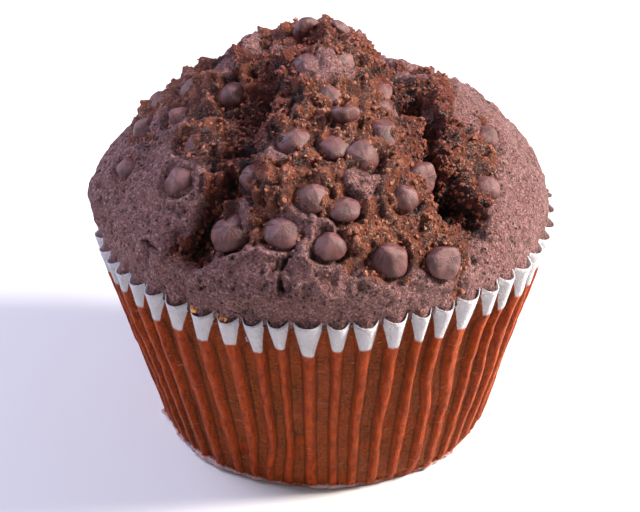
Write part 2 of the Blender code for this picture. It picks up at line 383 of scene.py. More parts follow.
def torn_depth(points):
    """How many millimetres a point lies inside the torn area; negative on the crust."""
    turn = np.degrees(np.arctan2(points[..., 0], -points[..., 1]))
    edge = np.interp(turn, *np.array(TORN_EDGE).T, period=360.0)
    ragged = 1.3 * noise(points, 5.0, 31) + 0.8 * noise(points, 1.8, 32)
    inside = edge - np.hypot(points[..., 0], points[..., 1]) + ragged
    islands = 6.0 * (ISLAND_SHARE - rough(points, ISLAND_SIZE, 41, 2))
    return np.maximum(np.minimum(inside, islands), 3.2 * near_deep(points, 3.0) - 1.2)


# %% [markdown]
# ## Cracks in the crust
# Thin cracks run from the torn edge towards the rim. Each is a short line of points on the dome,
# given as a turn and a share of the rise, and its depth falls off with the distance from that line.
# The points that are measured are shaken by noise first, which makes the crack's sides jagged.

# %% Crack lines
# width and depth in millimetres, then the line's points as turn and rise in degrees
CRACKS = {
    "front": (0.42, 2.5, [(-12.5, 34), (-10.5, 29), (-9.5, 24), (-11, 18), (-10, 12)]),
    "front fork": (0.28, 1.0, [(-9.5, 25), (-13, 21), (-14, 17)]),
    "left": (0.40, 1.5, [(-30, 30), (-34, 25), (-38, 19), (-44, 15), (-50, 16)]),
    "left upper": (0.35, 1.3, [(-76, 33), (-70, 36), (-66, 34)]),
    "far left": (0.30, 1.1, [(-84, 36), (-80, 30), (-76, 25)]),
    "low left": (0.28, 0.9, [(-42, 8), (-35, 6), (-30, 10)]),
    "right": (0.40, 1.4, [(33, 26), (39, 22), (41, 17)]),
    "right upper": (0.32, 1.1, [(62, 36), (70, 31), (80, 30)]),
    "back right": (0.40, 1.6, [(112, 44), (117, 33), (114, 24), (119, 17)]),
    "back": (0.40, 1.6, [(170, 40), (166, 30), (172, 21), (169, 14)]),
    "back left": (0.40, 1.6, [(-128, 38), (-133, 27), (-129, 18)]),
    "back fork": (0.30, 1.1, [(-133, 27), (-141, 22), (-144, 17)]),
}
# middle, radius and depth of holes, darkened by painted shade
HOLLOWS = [((-12, -9), 2.2, 1.4), ((-18.5, -27.5), 1.9, 1.8), ((21, -22), 2.8, 2.0),
           ((-12, 20), 3.0, 2.0), ((8, 20), 2.6, 2.0)]
VALLEY_WIDTH = 2.8          # of the deep lines, and of the slit at their bottom
SLIT_WIDTH = 0.9


def crack_depth(points):
    """How deep the cracks and the hollows are at a point of the dome; the depth also sets their
    painted shade.
    """
    shaken = points + 0.7 * np.stack([rough(points, 2.0, 51 + k, 3) for k in range(3)], axis=-1)
    depth = 0.0
    for width, deepest, line in CRACKS.values():
        turn, rise = np.radians(np.array(line, dtype=float)).T
        away = line_distance(shaken, dome(turn, rise))
        depth = depth + deepest * np.exp(-(away / width) ** 2)
    for (x, y), radius, deepest in HOLLOWS:
        away = np.hypot(shaken[..., 0] - x, shaken[..., 1] - y)
        ragged = 1.0 + 0.9 * noise(points, 2.0, 57)
        depth = depth + deepest * ragged * np.exp(-(away / radius) ** 2)
    return depth + 1.8 * near_deep(points, VALLEY_WIDTH) + 1.3 * near_deep(points, SLIT_WIDTH)


# %% [markdown]
# ## Relief
# The crust swells gently and is peppered with pits where bubbles broke. The crumb is lumps on
# lumps: three sizes of noise and round grains. Around each chip the cake sank a little, most on
# the downhill side, which leaves a groove under every chip; its dark line is partly the groove's
# real shade and partly painted shade.

# %% Relief of the crust, the crumb and the chips' beds
PIT_SIZE = 1.25
LIP = 0.7                   # how far the crust curls up at its torn edge


def cake_relief(points, torn):
    """How far a point stands out of the smooth dome in millimetres, and its fine part alone."""
    crumb_share = smooth_step(-0.2, 0.5, torn)
    spacing, number = grains(points, PIT_SIZE, 61)
    pits = 0.45 * np.where(number > 0.35, number, 0.0) * (1.0 - smooth_step(0.10, 0.40, spacing))
    grit = 0.26 * rough(points, 1.1, 67, 2) - pits
    crust = 0.55 * noise(points, 9.0, 65) + 0.38 * noise(points, 3.4, 66) + grit
    crust = crust + LIP * np.exp(-((torn + 0.8) / 0.9) ** 2)
    wild = 0.55 + 0.6 * moist_and_shaded(points)
    fine = wild * (1.45 * puffs(points, 2.1, 75) - 0.80)
    crumb = wild * (2.9 * puffs(points, 6.5, 71, 2) - 1.2) + fine
    relief = crust + crumb_share * (crumb - crust)
    return relief, grit + crumb_share * (fine - grit)


def chip_beds(points):
    """The cake swells up around each chip and drops in a groove next to it, deepest downhill."""
    swell, groove = np.zeros(len(points)), np.zeros(len(points))
    for base, axis, width in chips.values():
        middle = base + axis * 0.2 * width
        offset = points - middle
        away = np.linalg.norm(offset, axis=1)
        near = away < 1.6 * width
        outward = middle * (1.0, 1.0, 0.0) / np.hypot(middle[0], middle[1])
        downhill = (offset[near] @ outward) / np.maximum(away[near], 0.1)
        swell[near] += 0.8 * np.exp(-((away[near] - 0.72 * width) / 1.1) ** 2)
        strength = 0.55 + 0.65 * downhill
        groove[near] += strength * np.exp(-((away[near] - 0.54 * width) / 0.42) ** 2)
    return np.minimum(swell, 0.9), groove


# %% [markdown]
# ## The cake's skin
# A dome covered with rings and spokes would have its faces crowd together at the crown. Instead a
# square grid is bent onto the disc, ring by square ring, so that all faces are about the same
# size. The skin goes on down inside the case and closes under the cake.

# %% A grid of even faces
SIDE_COUNT = 290            # faces along each side of the square grid


def square_to_disc(count):
    """A square grid bent onto a disc: each square ring of the grid becomes a round one.

    Gives the turn and the share of the radius of each grid point."""
    across, up = np.meshgrid(*[np.linspace(-1.0, 1.0, count + 1)] * 2)
    wide = np.abs(across) > np.abs(up)
    longest = np.where(wide, across, up)
    other = np.where(wide, up, across)
    slope = np.divide(other, longest, out=np.zeros_like(other), where=longest != 0)
    turn = np.where(wide, slope, 2.0 - slope) * math.pi / 4.0
    return turn + np.where(longest < 0.0, math.pi, 0.0), np.abs(longest)


def surface_normals(points):
    """Unit normals of a grid of points, from the differences between neighbours."""
    normal = np.cross(np.gradient(points, axis=1), np.gradient(points, axis=0))
    return normal / np.maximum(np.linalg.norm(normal, axis=-1, keepdims=True), 1e-9)


# %% [markdown]
# The relief moves each point along the smooth dome's normal, and fades towards the rim, where the
# paper holds the crust smooth. The lowest points then move out into the teeth of the paper, but not
# into the folds between them, so crust and paper meet without a gap.

# %% Raise the top
EDGE_SHARE = 0.955          # where the crust meets the paper, as a share of the case's height
EDGE_DROP = 1.0             # how far the crust's edge hangs down inside the teeth
TEETH_REACH = 0.08          # the rise, in radians, up to which the crust follows the teeth
FULL_RELIEF = 0.30          # the rise from which the relief is at its full height
RIM_RELIEF = 0.35           # the share of the relief that is left at the rim
TOUCH = 0.06                # air between the crust and the paper


def fill_teeth(points, turn, rise):
    """Move the lowest points to the paper's inside, with its folds filled halfway."""
    in_teeth = 1.0 - smooth_step(0.0, TEETH_REACH, rise)
    spoke = np.hypot(points[:, 0], points[:, 1])
    filled = case_radius(turn, EDGE_SHARE, lowest=0.0) - WALL - TOUCH
    wanted = spoke + in_teeth * (filled - spoke)
    points[:, :2] *= (wanted / np.maximum(spoke, 1e-6))[:, None]
    points[:, 2] -= EDGE_DROP * in_teeth


def raise_top(turn, rise):
    """The dome with its relief: its points, its normals and what the finish needs to know."""
    smooth = dome(turn, rise)
    normal = surface_normals(smooth)
    if normal[SIDE_COUNT // 2, SIDE_COUNT // 2, 2] < 0.0:
        normal = -normal
    flat, normal = smooth.reshape(-1, 3), normal.reshape(-1, 3)
    torn = torn_depth(flat)
    cracks = crack_depth(flat)
    swell, groove = chip_beds(flat)
    relief, fine = cake_relief(flat, torn)
    relief = relief + swell - cracks - groove
    strength = RIM_RELIEF + (1.0 - RIM_RELIEF) * smooth_step(0.0, FULL_RELIEF, rise.ravel())
    points = flat + normal * (relief * strength)[:, None]
    fill_teeth(points, turn.ravel(), rise.ravel())
    # the cleft mark is painted shade in the cracks, holes and chip grooves; the broad valleys of
    # the deep lines are crumb, not cleft, so only part of them counts
    # the moist crumb's mark near the deep lines also carries painted shade
    marks = {"torn": torn, "cleft_shade": cracks - 1.4 * near_deep(flat, VALLEY_WIDTH) + groove,
             "moist_shade": moist_and_shaded(flat), "fine": fine}
    return points, normal, marks


# %% [markdown]
# The rest of the cake is out of sight, but a solid has to be closed. A few rings lead down inside
# the case, first in its folds and then on a plain cone, and a fan of triangles is its foot.

# %% Close the cake inside the case
# share of the case's height, and the highest level of the pleats that the cake fills there
SKIRT = ((0.97, 1.0), (0.90, -1.0), (0.5, -1.0), (0.03, -1.0))
UNDER_RADIUS = FOOT_RADIUS - 2.5
HIDDEN_TORN = -3.0          # the torn mark inside the case, where all is crust


def close_below(points, index, turn):
    """Rings from the top's edge down inside the case, and a fan to the middle of the foot."""
    loop = np.concatenate([index[0, :-1], index[:-1, -1], index[-1, :0:-1], index[:0:-1, 0]])
    turn = turn.ravel()[loop]
    rows = [around(turn, case_radius(turn, share, highest=highest) - INSET,
                   share * rim_height(turn) + INSET) for share, highest in SKIRT]
    rows.append(around(turn, UNDER_RADIUS, INSET))
    extra = np.vstack(rows + [np.array([[0.0, 0.0, INSET]])])
    below = len(points) + np.arange(len(rows) * len(loop)).reshape(len(rows), -1)
    middle = len(points) + len(extra) - 1
    return extra, [grid_faces(np.vstack([loop, below]), True), fan_faces(below[-1], middle)]


def face_outwards(points, faces):
    """Turn every face over if the closed surface's volume comes out negative."""
    corner = points[faces[:, :3]]
    volume = np.einsum("ij,ij->i", corner[:, 0], np.cross(corner[:, 1], corner[:, 2])).sum()
    fourth = faces[:, 3] >= 0
    corner = points[faces[fourth][:, [0, 2, 3]]]
    volume += np.einsum("ij,ij->i", corner[:, 0], np.cross(corner[:, 1], corner[:, 2])).sum()
    if volume > 0.0:
        return faces
    turned = faces[:, [0, 3, 2, 1]]
    turned[~fourth] = faces[~fourth][:, [0, 2, 1, 3]]
    return turned


def build_cake():
    """The top, then its side inside the case and its foot; and the top's points and normals."""
    turn, share = square_to_disc(SIDE_COUNT)
    turn = turn + math.pi / 2.0
    rise = (1.0 - share) * math.pi / 2.0
    top, normal, top_marks = raise_top(turn, rise)
    index = np.arange(len(top)).reshape(turn.shape)
    extra, below = close_below(top, index, turn)
    points = np.vstack([top, extra])
    faces = face_outwards(points, np.vstack([grid_faces(index, False)] + below))
    hidden = {"torn": HIDDEN_TORN, "cleft_shade": 0.0, "moist_shade": 0.0, "fine": 0.0}
    marks = {name: np.append(values, np.full(len(extra), hidden[name]))
             for name, values in top_marks.items()}
    return points, faces, marks, (top, normal, top_marks["torn"])


cake_points, cake_faces, cake_marks, cake_top = build_cake()
cake = make_piece("cake_crust", cake_points, cake_faces, ("cake",), cake_marks)

# %% [markdown]
# ## Torn crumb
# Where cake tears, it breaks into soft granules. Sculpting thousands of them would bury the
# machine, so one granule, an icosahedron of twenty faces, is squashed, turned and dropped at
# scattered points of the torn area, all in one array. They cast real shadows and break the
# outline, which a bump texture can't do.

# %% Scatter the granules
GRANULES = 5600


def icosahedron():
    """The twelve corners and twenty faces of a regular icosahedron of radius one."""
    long = (1.0 + math.sqrt(5.0)) / 2.0
    signs = [(a, b) for a in (-1, 1) for b in (-long, long)]
    corners = [(0, a, b) for a, b in signs]
    corners += [(a, b, 0) for a, b in signs] + [(b, 0, a) for a, b in signs]
    corners = np.array(corners, dtype=float)
    near = np.linalg.norm(corners[:, None] - corners[None], axis=-1) < 2.01
    faces = []
    for i, j, k in combinations(range(12), 3):
        if near[i, j] and near[j, k] and near[i, k]:
            across = np.cross(corners[j] - corners[i], corners[k] - corners[i])
            faces.append((i, j, k) if np.dot(across, corners[i]) > 0 else (i, k, j))
    return corners / np.linalg.norm(corners[0]), np.array(faces)


def random_turns(count, chance):
    """Random rotation matrices, from random quaternions."""
    quaternions = chance.normal(size=(4, count))
    w, x, y, z = quaternions / np.linalg.norm(quaternions, axis=0)
    rows = [[1 - 2 * (y * y + z * z), 2 * (x * y - z * w), 2 * (x * z + y * w)],
            [2 * (x * y + z * w), 1 - 2 * (x * x + z * z), 2 * (y * z - x * w)],
            [2 * (x * z - y * w), 2 * (y * z + x * w), 1 - 2 * (x * x + y * y)]]
    return np.array(rows).transpose(2, 0, 1)


def granule_mesh(middles, sizes, chance):
    """One closed lump for each middle: squashed, turned and a little dented."""
    corners, faces = icosahedron()
    count = len(middles)
    squash = 0.50 + 0.75 * chance.random((count, 1, 3))
    dents = 0.65 + 0.60 * chance.random((count, 12, 1))
    lumps = (corners[None] * squash * dents) @ random_turns(count, chance)
    points = middles[:, None] + lumps * sizes[:, None, None]
    numbers = faces[None] + 12 * np.arange(count)[:, None, None]
    numbers = numbers.reshape(-1, 3)
    blank = np.full((len(numbers), 1), -1)
    return points.reshape(-1, 3), np.hstack([numbers, blank])


def chip_distance(points):
    """The distance to the nearest chip's middle, in that chip's half widths."""
    nearest = np.full(len(points), 9.0)
    for base, axis, width in chips.values():
        away = np.linalg.norm(points - base - axis * 0.3 * width, axis=1)
        nearest = np.minimum(nearest, away / (0.5 * width))
    return nearest


def build_granules():
    """Granules on the torn area, a few on the crust near it, and none on the chips' faces."""
    chance = np.random.default_rng(21)
    points, normal, torn = cake_top
    away = chip_distance(points)
    weight = smooth_step(-0.1, 0.9, torn) * (0.45 + 2.4 * near_deep(points, 5.0))
    weight = weight + 0.02 * (torn > -4.0)
    weight = (away > 0.9) * (weight + 0.8 * (away < 1.15))
    chosen = chance.choice(len(points), GRANULES, replace=False, p=weight / weight.sum())
    sizes = 0.12 + 0.46 * chance.random(GRANULES) ** 3
    sizes = np.where(torn[chosen] < 0.0, 0.6 * sizes, sizes)
    rise = 0.35 * chance.random(GRANULES) * sizes
    middles = points[chosen] + normal[chosen] * rise[:, None]
    marks = {"moist_shade": np.repeat(moist_and_shaded(middles), len(icosahedron()[0]))}
    return *granule_mesh(middles, sizes, chance), marks


granule_points, granule_faces, granule_marks = build_granules()
granules = make_piece("torn_crumb", granule_points, granule_faces,
                      marks=granule_marks, smooth=False)

# %% [markdown]
# A few golden crumbs from another bake lie in two of the teeth, on the left of the front.

# %% Scatter the golden crumbs
GOLDEN_TURNS = (-34.0, -26.0)
GOLDEN_COUNT = 16


def build_golden():
    """Small lumps in a row inside the rim of each of the two teeth."""
    chance = np.random.default_rng(5)
    turn = np.radians(np.repeat(GOLDEN_TURNS, GOLDEN_COUNT // 2))
    turn = turn + 0.018 * chance.normal(size=GOLDEN_COUNT)
    radius = case_radius(turn, 1.0) - 0.55 - 0.3 * chance.random(GOLDEN_COUNT)
    height = rim_height(turn) + 0.35 + 0.3 * chance.random(GOLDEN_COUNT)
    sizes = 0.22 + 0.24 * chance.random(GOLDEN_COUNT)
    return granule_mesh(around(turn, radius, height), sizes, chance)


golden_points, golden_faces = build_golden()
golden = make_piece("golden_crumbs", golden_points, golden_faces, smooth=False)

# %% [markdown]
# ## Chocolate chips
# A chip is piped onto a belt as a drop: flat below, round at the belly and drawn to a soft tip.
# Its profile is two quarter superellipses, a shallow one below the belly and a tall one above,
# turned around its axis. In the oven it softened, so noise makes it slump. A UV map runs around
# and up each chip, and carries the faint streaks of its surface.

# %% Build the chips
CHIP_AROUND = 32
CHIP_ALONG = 24
BELLY_SHARE = 0.20          # the belly's height over the base, for a width of one
CHIP_SINK = 0.10            # how far a chip is sunk below its solid, for a width of one
CROWN_START, CROWN_FULL = 61.0, 67.0    # chips between these heights melted more and more
FLAT_SPOTS = 4
FLAT_DEPTH = 0.30           # the least distance of a flat spot from the middle, for a width of one


def chip_surface(base, axis, width, seed):
    """Points of one chip: a ring for each step from the base's middle to the tip.

    A ring's radius is a power of the cosine, its height a share of the sine. Noise of two sizes
    pushes the points in and out, and what sticks out past a flat spot is cut almost flat."""
    side = np.cross(axis, (0.0, 0.0, 1.0) if abs(axis[2]) < 0.9 else (1.0, 0.0, 0.0))
    side /= np.linalg.norm(side)
    other = np.cross(axis, side)
    up = np.linspace(-math.pi / 2.0, math.pi / 2.0, CHIP_ALONG)[:, None]
    turn = 2.0 * math.pi * np.arange(CHIP_AROUND)[None, :] / CHIP_AROUND
    low = up < 0.0
    crown = smooth_step(CROWN_START, CROWN_FULL, base[2])
    tip = CHIP_TALL * (0.90 + 0.20 * math.sin(5.0 * seed) - 0.25 * crown)
    radius = 0.5 * np.cos(up) ** np.where(low, 0.5, 1.55)
    rise = np.where(low, BELLY_SHARE, tip - BELLY_SHARE) * np.sin(up)
    height = BELLY_SHARE + rise
    ring = radius[..., None] * (np.cos(turn)[..., None] * side + np.sin(turn)[..., None] * other)
    sink = CHIP_SINK + 0.05 * math.sin(9.0 * seed) + 0.12 * crown
    base = base - sink * width * axis
    points = base + width * (ring + (height + 0.0 * turn)[..., None] * axis)
    shape = points + 37.0 * seed
    slump = 0.09 * noise(shape, 2.8, 81) + 0.035 * noise(shape, 1.0, 82)
    middle = base + axis * 0.3 * width
    away = (points - middle) * (1.0 + 2.0 * slump[..., None])
    # flat spots, where the chip pressed on a neighbour or on the tray
    chance = np.random.default_rng(seed)
    for flat in chance.normal(size=(FLAT_SPOTS, 3)) + 0.5 * axis:
        flat = flat / np.linalg.norm(flat)
        depth = (FLAT_DEPTH + 0.13 * chance.random()) * width
        over = np.maximum(away @ flat - depth, 0.0)
        cut = over * over / (over + 0.07 * width)
        away = away - 0.95 * cut[..., None] * flat
    return middle + away


def build_chip(name, number):
    """One chip's mesh, with its poles closed to single points."""
    rings = chip_surface(*chips[name], seed=number)
    poles = rings[[0, -1]].mean(axis=1)
    body = rings[1:-1].reshape(-1, 3)
    index = np.arange(len(body)).reshape(CHIP_ALONG - 2, CHIP_AROUND)
    points = np.vstack([body, poles])
    base_fan = fan_faces(index[0][::-1], len(body))
    tip_fan = fan_faces(index[-1], len(body) + 1)
    faces = np.vstack([grid_faces(index, True), base_fan, tip_fan])
    share_around = np.tile(np.arange(CHIP_AROUND) / CHIP_AROUND, CHIP_ALONG - 2)
    share_up = np.repeat(np.linspace(0.0, 1.0, CHIP_ALONG)[1:-1], CHIP_AROUND)
    uv = np.stack([np.append(share_around, [0.5, 0.5]), np.append(share_up, [0.0, 1.0])], axis=-1)
    faces = face_outwards(points - points.mean(axis=0), faces)
    return make_piece(f"chocolate_{name}", points, faces, (name,), uv=uv)


chocolate_chips = [build_chip(name, number) for number, name in enumerate(CHIPS)]

# %% [markdown]
# ## The paper case
# The case is one sheet with two faces: an outside with all its detail and a plainer inside that
# the cake hides, joined at the rim. Grease from the cake has soaked the paper brown and clear up
# to a few millimetres below the rim, where the teeth stayed dry and white. The points carry how
# far they lie above that grease line, and how proud of the cake the paper stands.

# %% The paper's outside
# Places across a pleat, from its fold (0) to the middle of its tooth (0.5): close together where
# the paper bends. The other half mirrors them.
HALF_PLACES = [0.0, 0.035, 0.075, 0.115, 0.155, 0.19, 0.22, 0.25, 0.28, 0.32, 0.37, 0.43]
PLACES = np.array(HALF_PLACES + [0.5] + [1.0 - place for place in HALF_PLACES[:0:-1]])
CASE_ROWS = 58
WANDER = 0.030              # how far a pleat strays sideways below the rim, in radians
TOOTH_HALF = 0.26           # where a tooth's side meets the panel, as a share of the pleat
HEEL_IN = 1.1               # how far the foot lies inside the heel


def paper_outside(turn, top):
    """Rings from the foot to the rim: their points, and a table of marks for each.

    The radius is the pleats' at a turn that noise has shaken, plus crinkles. Both fade out at the
    rim. Near the foot it shrinks along an S curve, and a bell curve adds the crushed heel."""
    share = (np.linspace(0.0, 1.0, CASE_ROWS) ** 1.15)[:, None]
    height = share * top
    spot = around(turn[None, :], FOOT_RADIUS + 0.0 * share, 0.6 * height)
    free = 1.0 - smooth_step(0.80, 1.0, share)
    strayed = turn[None, :] + WANDER * noise(spot, 8.0, 91) * free
    pleat, place = pleat_at(strayed)
    crinkle = 0.14 * noise(spot * (1.0, 1.0, 1.8), 1.5, 92) + 0.22 * noise(spot, 4.0, 93)
    radius = case_radius(strayed, share) + crinkle * free
    low = smooth_step(0.0, 2.2, height)
    radius = FOOT_RADIUS - HEEL_IN + low * (radius - FOOT_RADIUS + HEEL_IN)
    crush = 0.5 + 0.35 * rough(spot * (1.0, 1.0, 0.0), 4.5, 94) - 0.25 * np.sin(turn)
    heel = np.exp(-((height - 0.40 - 0.55 * crush) / 0.45) ** 2)
    radius = radius + (0.4 + 1.4 * crush) * heel
    grease_line = rim_height(turn) - tooth_dry[pleat] - 0.8 * np.sin(turn)
    grease_line = grease_line + 0.35 * noise(spot, 1.6, 95)
    marks = {"dry": height - grease_line, "proud": pleat_level(strayed, share),
             "crease": np.exp(-((np.abs(place) - TOOTH_HALF) / 0.035) ** 2) * free,
             "heel": heel * crush}
    return around(turn, radius, height), marks


# %% [markdown]
# The inside follows the outside only down to where the cake hides it. Below that it is a plain
# cone inside all folds, so that no fold's other face can poke out through the paper.

# %% Build the case
INNER_SHARES = np.array([1.0, 0.955, 0.90, 0.5, 0.04])[:, None]
INNER_LEVELS = np.where(INNER_SHARES > 0.93, 1.0, -1.0)
FLOOR_RADIUS = FOOT_RADIUS - 2.4 * HEEL
HIDDEN_DRY = -9.0           # the mark of paper that grease has soaked through


def paper_inside(turn, top, rim):
    """Rings from the rim down to the case's floor, a wall's thickness inside."""
    height = np.maximum(INNER_SHARES * top, WALL)
    radius = case_radius(turn[None, :], INNER_SHARES, highest=INNER_LEVELS) - WALL
    rings = around(turn[None, :], radius, height)
    rings[0] = around(turn, np.hypot(rim[:, 0], rim[:, 1]) - WALL, height[0])
    floor = around(turn, np.full(len(turn), FLOOR_RADIUS), WALL)[None]
    return np.concatenate([rings, floor]), height


def build_case():
    """The two faces of the paper, joined at the rim, with a fan in the middle of each."""
    pleat = np.repeat(np.arange(PLEATS), len(PLACES))
    turn = FOLDS[pleat] + np.tile(PLACES, PLEATS) * (FOLDS[pleat + 1] - FOLDS[pleat])
    place = np.abs(2.0 * pleat_at(turn)[1])
    top = rim_height(turn[None, :]) + tooth_top[pleat] + EAR * place ** 3
    outside, marks = paper_outside(turn, top)
    inside, inner_height = paper_inside(turn, top, outside[-1])
    rows = np.concatenate([outside, inside])
    index = np.arange(rows.shape[0] * rows.shape[1]).reshape(rows.shape[:2])
    points = np.vstack([rows.reshape(-1, 3), [(0.0, 0.0, 0.0), (0.0, 0.0, WALL)]])
    under = fan_faces(index[0][::-1], len(points) - 2)
    floor_fan = fan_faces(index[-1], len(points) - 1)
    faces = np.vstack([grid_faces(index, True), under, floor_fan])
    blank = np.ones((len(inside), len(turn)))
    inner_dry = marks["dry"][-1] + inner_height - top
    inner = {"dry": np.vstack([inner_dry, HIDDEN_DRY * blank[:1]]), "proud": blank,
             "crease": 0.0 * blank, "heel": 0.0 * blank}
    ends = {"dry": HIDDEN_DRY, "proud": 0.0, "crease": 0.0, "heel": 0.0}
    marks = {name: np.append(np.vstack([marks[name], inner[name]]), [ends[name]] * 2)
             for name in marks}
    return points, face_outwards(points, faces), marks


case_points, case_faces, case_marks = build_case()
case = make_piece("pleated_case", case_points, case_faces, ("paper_case",),
                  case_marks)

# %% [markdown]
# ## Finishes
# Each finish is a Principled shader fed by colours and masks that change over the surface. Writing
# a material in code means adding nodes and linking sockets, which soon hides what it is for. A few
# helpers that give back an output socket let a material read like a recipe.

# %% Node helpers
def add_node(tree, kind, **settings):
    """A new node with its properties set; keys that are sockets set the sockets' values."""
    node = tree.nodes.new(kind)
    for key, value in settings.items():
        if hasattr(node, key):
            setattr(node, key, value)
        else:
            node.inputs[key.replace("_", " ").title()].default_value = value
    return node


def mix_colour(tree, share, first, second, mode="MIX"):
    """The output of a Mix node; first and second are colours or sockets, share is a socket."""
    node = add_node(tree, "ShaderNodeMix", data_type="RGBA", blend_type=mode)
    for socket, value in ((node.inputs[0], share), (node.inputs[6], first),
                          (node.inputs[7], second)):
        if isinstance(value, bpy.types.NodeSocket):
            tree.links.new(value, socket)
        else:
            socket.default_value = (*value, 1.0) if isinstance(value, tuple) else value
    return node.outputs[2]


def math_node(tree, operation, first, second=0.0, third=0.0):
    """The output of a Math node whose inputs are numbers or sockets."""
    node = add_node(tree, "ShaderNodeMath", operation=operation)
    for socket, value in zip(node.inputs, (first, second, third)):
        if isinstance(value, bpy.types.NodeSocket):
            tree.links.new(value, socket)
        else:
            socket.default_value = value
    return node.outputs[0]


def ramp(tree, value, low, high, start=0.0, end=1.0):
    """A value mapped from low..high to start..end, clamped at both ends."""
    node = add_node(tree, "ShaderNodeMapRange")
    tree.links.new(value, node.inputs["Value"])
    for name, number in (("From Min", low), ("From Max", high), ("To Min", start), ("To Max", end)):
        node.inputs[name].default_value = number
    return node.outputs["Result"]


def blend_in(tree, colour, other, value, low, high, start=0.0, end=1.0):
    """A colour that turns into another one as a value rises from low to high. The other's share
    runs from start to end meanwhile."""
    return mix_colour(tree, ramp(tree, value, low, high, start, end), colour, other)


def mark_socket(tree, name):
    """The value of one of the piece's own attributes."""
    return add_node(tree, "ShaderNodeAttribute", attribute_name=name).outputs["Fac"]


def stretched(tree, vector, scale):
    """Coordinates times a scale for each axis, which stretches a pattern on them."""
    mapping = add_node(tree, "ShaderNodeMapping")
    mapping.inputs["Scale"].default_value = scale
    tree.links.new(vector, mapping.inputs["Vector"])
    return mapping.outputs["Vector"]


def noise_socket(tree, size, detail=3.0, scale=None):
    """Noise with lumps of a size in millimetres, on object coordinates or stretched ones."""
    vector = add_node(tree, "ShaderNodeTexCoord").outputs["Object"]
    if scale:
        vector = stretched(tree, vector, scale)
    node = add_node(tree, "ShaderNodeTexNoise", scale=1.0 / (size * MM), detail=detail,
                    roughness=0.6)
    tree.links.new(vector, node.inputs["Vector"])
    return node.outputs["Fac"]


# %% [markdown]
# ### The grain they share
# Crust, crumb, chocolate and baked paper are all finely grained, so the grain is a node group. Its
# inputs are a place and a scale, and its outputs are a speckle and a number for each grain for the
# colours, pits, and a height for the bump. Each finish places it with its own grain size.

# %% The shared grain
def make_grain_group():
    """Speckle: soft light and dark dots. Cell: one number for each grain. Pit: 1 in the middle
    of every other grain. Height: rounded grains with dots and pits, for a bump."""
    group = bpy.data.node_groups.new("baked_grain", "ShaderNodeTree")
    for name, kind in (("Vector", "NodeSocketVector"), ("Scale", "NodeSocketFloat")):
        group.interface.new_socket(name, in_out="INPUT", socket_type=kind)
    for name in ("Speckle", "Cell", "Pit", "Height"):
        group.interface.new_socket(name, in_out="OUTPUT", socket_type="NodeSocketFloat")
    given = add_node(group, "NodeGroupInput")
    result = add_node(group, "NodeGroupOutput")
    dots = add_node(group, "ShaderNodeTexNoise", detail=4.0, roughness=0.75)
    cells = add_node(group, "ShaderNodeTexVoronoi")
    for texture in (dots, cells):
        group.links.new(given.outputs["Vector"], texture.inputs["Vector"])
        group.links.new(given.outputs["Scale"], texture.inputs["Scale"])
    speckle = ramp(group, dots.outputs["Fac"], 0.34, 0.66)
    parts = add_node(group, "ShaderNodeSeparateColor")
    group.links.new(cells.outputs["Color"], parts.inputs["Color"])
    edge = ramp(group, cells.outputs["Distance"], 0.30, 0.75)
    height = math_node(group, "MULTIPLY_ADD", edge, -0.7, speckle)
    middle = ramp(group, cells.outputs["Distance"], 0.14, 0.34, 1.0, 0.0)
    pit = math_node(group, "MULTIPLY", middle, ramp(group, parts.outputs[1], 0.45, 0.55))
    height = math_node(group, "MULTIPLY_ADD", pit, -1.6, height)
    for name, value in (("Speckle", speckle), ("Cell", parts.outputs[0]), ("Pit", pit),
                        ("Height", height)):
        group.links.new(value, result.inputs[name])
    return group


grain_group = make_grain_group()


def grain(tree, size):
    """The grain group in a material, with grains of a size in millimetres."""
    node = add_node(tree, "ShaderNodeGroup")
    node.node_tree = grain_group
    node.inputs["Scale"].default_value = 1.0 / (size * MM)
    coordinates = add_node(tree, "ShaderNodeTexCoord")
    tree.links.new(coordinates.outputs["Object"], node.inputs["Vector"])
    return node.outputs


def new_material(name, settings):
    """A material with its node tree and its Principled shader, whose sockets get their values."""
    material = bpy.data.materials.new(name)
    material.use_nodes = True
    shader = material.node_tree.nodes["Principled BSDF"]
    for socket, value in settings.items():
        shader.inputs[socket].default_value = value
    print("material", name)
    return material, material.node_tree, shader


def feed_shader(tree, shader, colour, roughness, height, depth):
    """Link a finish's colour, its roughness and a bump whose full height is a depth in mm."""
    bump = add_node(tree, "ShaderNodeBump")
    bump.inputs["Distance"].default_value = depth * MM
    tree.links.new(height, bump.inputs["Height"])
    tree.links.new(colour, shader.inputs["Base Color"])
    tree.links.new(roughness, shader.inputs["Roughness"])
    tree.links.new(bump.outputs["Normal"], shader.inputs["Normal"])


# %% [markdown]
# ### Cocoa crust and crumb
# The crust is a dusty purple-brown: light granules on a darker ground, with painted shade in its
# pits and low places. The crumb is redder and wetter; painted shade makes it much darker in its
# depths, and painted highlights light its tops and scattered grains. Painted shade also fills the
# cracks and the grooves beside the chips. The torn attribute chooses between crust and crumb, with
# fine noise on it so that the border is as ragged as the crumbs themselves.

